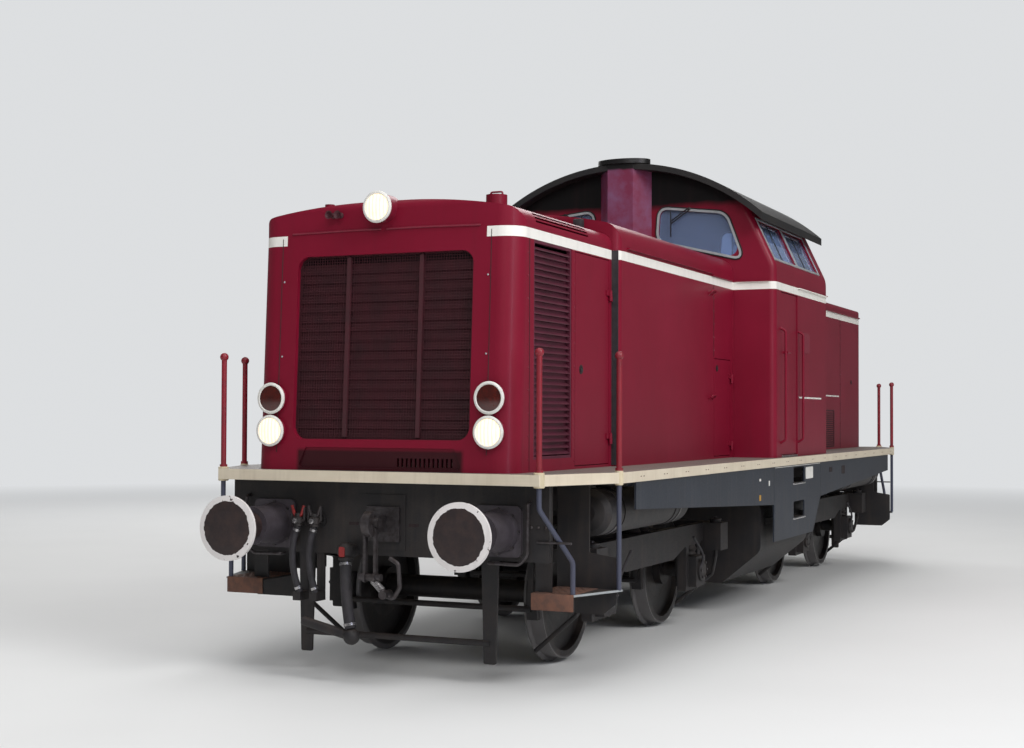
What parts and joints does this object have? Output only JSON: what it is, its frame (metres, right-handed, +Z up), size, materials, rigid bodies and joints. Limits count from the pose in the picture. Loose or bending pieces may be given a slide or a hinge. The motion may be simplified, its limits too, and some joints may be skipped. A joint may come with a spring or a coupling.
{
  "type": "diesel locomotive",
  "caption": "Two-bogie diesel locomotive with its cab between a long and a short hood, walkways, buffers and opening doors.",
  "frame": {"origin": "centre of the bounding box's base, under the wheel flanges, midway between the bogies", "axes": "+X along the locomotive towards the long hood's end, +Y towards its left side, +Z up"},
  "size_m": [12.1, 3.1024, 4.313],
  "materials": {
    "crimson_paint": "semi-gloss crimson paint",
    "dark_paint": "dull dark grey paint with brake dust",
    "slate_paint": "satin slate grey paint",
    "cream_paint": "satin cream paint",
    "black_paint": "matt black paint",
    "grille_steel": "dull dark crimson paint on steel slats",
    "worn_steel": "worn greasy steel",
    "buffer_face": "dark greasy face with white rim",
    "rail_paint": "red painted tube",
    "glass": "clear glass",
    "lamp_shell": "light metal ring with lit glass",
    "fan_alloy": "dusty cast aluminium",
    "cab_trim": "grey green desk paint and dark seat covers",
    "hose_rubber": "matt grey-black rubber"
  },
  "bodies": {
    "underframe": {"frame": "dark_paint", "deck": "cream_paint", "skirts": "slate_paint", "side_panels": "slate_paint", "fuel_tank": "dark_paint", "air_tanks": "dark_paint", "buffer_sleeves": "worn_steel", "buffer_heads": "buffer_face", "drawgear": "worn_steel", "pipe_ends": "dark_paint", "corner_posts": "rail_paint", "steps": "dark_paint", "nose_walls": "crimson_paint", "front_grille": "grille_steel", "side_grilles": "grille_steel", "wide_hood_walls": "crimson_paint", "nose_roof": "crimson_paint", "wide_roof": "crimson_paint", "fan_ring": "fan_alloy", "short_hood_walls": "crimson_paint", "short_hood_roof": "crimson_paint", "cab_walls": "crimson_paint", "cab_roof": "black_paint", "exhaust_stack": "crimson_paint", "cab_glass": "glass", "cab_fittings": "cab_trim", "lamps": "lamp_shell", "engine_block": "dark_paint", "transmission_block": "dark_paint", "boiler_block": "dark_paint", "brake_hose_1": "hose_rubber", "brake_hose_2": "hose_rubber", "heating_hose": "hose_rubber"},
    "bogie_front": {"bogie_frame_front": "dark_paint", "axle_boxes_front": "dark_paint", "brake_gear_front": "dark_paint"},
    "bogie_rear": {"bogie_frame_rear": "dark_paint", "axle_boxes_rear": "dark_paint", "brake_gear_rear": "dark_paint"},
    "wheelset_1": {"wheelset_1": "worn_steel"},
    "wheelset_2": {"wheelset_2": "worn_steel"},
    "wheelset_3": {"wheelset_3": "worn_steel"},
    "wheelset_4": {"wheelset_4": "worn_steel"},
    "nose_door_left": {"nose_door_left": "crimson_paint"},
    "engine_door_left": {"engine_door_left": "crimson_paint"},
    "cab_door_left": {"cab_door_left": "crimson_paint"},
    "nose_door_right": {"nose_door_right": "crimson_paint"},
    "engine_door_right": {"engine_door_right": "crimson_paint"},
    "cab_door_right": {"cab_door_right": "crimson_paint"},
    "fan_rotor": {"fan_rotor": "fan_alloy"}
  },
  "joints": [
    {"name": "bogie_front_turn", "type": "hinge", "parent": "underframe", "child": "bogie_front", "pos_m": [3, 0, 1], "axis": [0, 0, 1], "range_deg": [-3, 3]},
    {"name": "bogie_rear_turn", "type": "hinge", "parent": "underframe", "child": "bogie_rear", "pos_m": [-3, 0, 1], "axis": [0, 0, 1], "range_deg": [-3, 3]},
    {"name": "wheelset_1_spin", "type": "hinge", "parent": "bogie_front", "child": "wheelset_1", "pos_m": [4.1, 0, 0.503], "axis": [0, 1, 0], "continuous": true},
    {"name": "wheelset_2_spin", "type": "hinge", "parent": "bogie_front", "child": "wheelset_2", "pos_m": [1.9, 0, 0.503], "axis": [0, 1, 0], "continuous": true},
    {"name": "wheelset_3_spin", "type": "hinge", "parent": "bogie_rear", "child": "wheelset_3", "pos_m": [-4.1, 0, 0.503], "axis": [0, 1, 0], "continuous": true},
    {"name": "wheelset_4_spin", "type": "hinge", "parent": "bogie_rear", "child": "wheelset_4", "pos_m": [-1.9, 0, 0.503], "axis": [0, 1, 0], "continuous": true},
    {"name": "nose_door_left_swing", "type": "hinge", "parent": "underframe", "child": "nose_door_left", "pos_m": [3.768, 1.031, 2.2], "axis": [0, 0, 1], "range_deg": [0, 95]},
    {"name": "engine_door_left_swing", "type": "hinge", "parent": "underframe", "child": "engine_door_left", "pos_m": [0.723, 1.091, 2.2], "axis": [0, 0, 1], "range_deg": [0, 88]},
    {"name": "cab_door_left_swing", "type": "hinge", "parent": "underframe", "child": "cab_door_left", "pos_m": [-0.212, 1.419, 2.2], "axis": [0, 0, -1], "range_deg": [0, 85]},
    {"name": "nose_door_right_swing", "type": "hinge", "parent": "underframe", "child": "nose_door_right", "pos_m": [3.768, -1.031, 2.2], "axis": [0, 0, -1], "range_deg": [0, 95]},
    {"name": "engine_door_right_swing", "type": "hinge", "parent": "underframe", "child": "engine_door_right", "pos_m": [0.723, -1.091, 2.2], "axis": [0, 0, -1], "range_deg": [0, 88]},
    {"name": "cab_door_right_swing", "type": "hinge", "parent": "underframe", "child": "cab_door_right", "pos_m": [-0.212, -1.419, 2.2], "axis": [0, 0, 1], "range_deg": [0, 85]},
    {"name": "fan_spin", "type": "hinge", "parent": "underframe", "child": "fan_rotor", "pos_m": [4.3, 0, 3.178], "axis": [0, 0, 1], "continuous": true}
  ]
}
